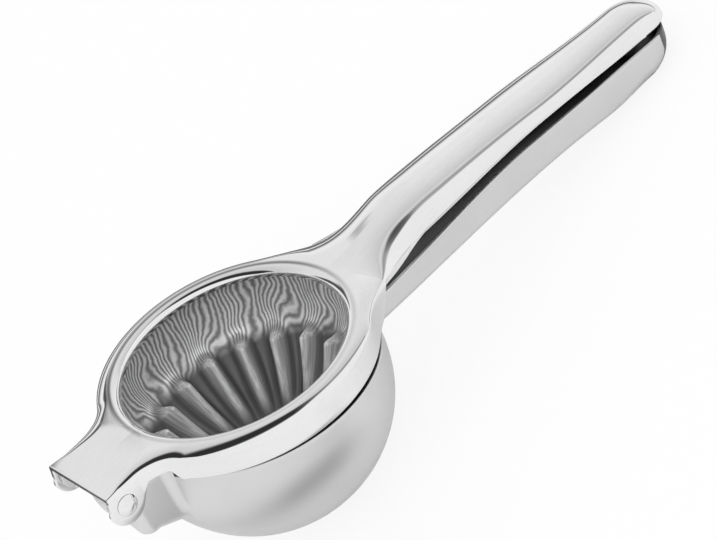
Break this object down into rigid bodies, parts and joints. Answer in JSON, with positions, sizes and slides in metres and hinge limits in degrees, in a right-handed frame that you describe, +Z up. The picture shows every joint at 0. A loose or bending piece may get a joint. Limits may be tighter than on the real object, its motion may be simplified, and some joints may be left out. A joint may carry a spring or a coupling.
{
  "type": "hinged lemon squeezer",
  "caption": "Hinged hand press for citrus halves: a ribbed press cup in a ring closes into a slotted bowl, worked by two long hollow handles.",
  "frame": {"origin": "point on the table below the centre of the bowl's round part, with the squeezer lying closed on its bowl and its lower handle's end", "axes": "+X from the hinge towards the handles' tips, +Y across, +Z up from the table"},
  "size_m": [0.2089, 0.0762, 0.0648],
  "materials": {
    "polished_steel": "mirror-polished stainless steel",
    "cup_steel": "polished stainless steel with faint drawing lines",
    "satin_steel": "satin stainless steel",
    "handle_steel": "fine satin stainless steel",
    "pin_steel": "polished rivet with domed heads",
    "washer_steel": "plain stamped steel"
  },
  "bodies": {
    "lower_arm": {"juice_bowl": "satin_steel", "lower_handle": "handle_steel"},
    "upper_arm": {"press_arm": "polished_steel", "press_cup": "cup_steel", "hinge_pin": "pin_steel", "hinge_washers": "washer_steel"}
  },
  "joints": [
    {"name": "hinge", "type": "hinge", "parent": "lower_arm", "child": "upper_arm", "pos_m": [-0.04543, 0, 0.05853], "axis": [0, -1, 0], "range_deg": [0, 135]}
  ]
}
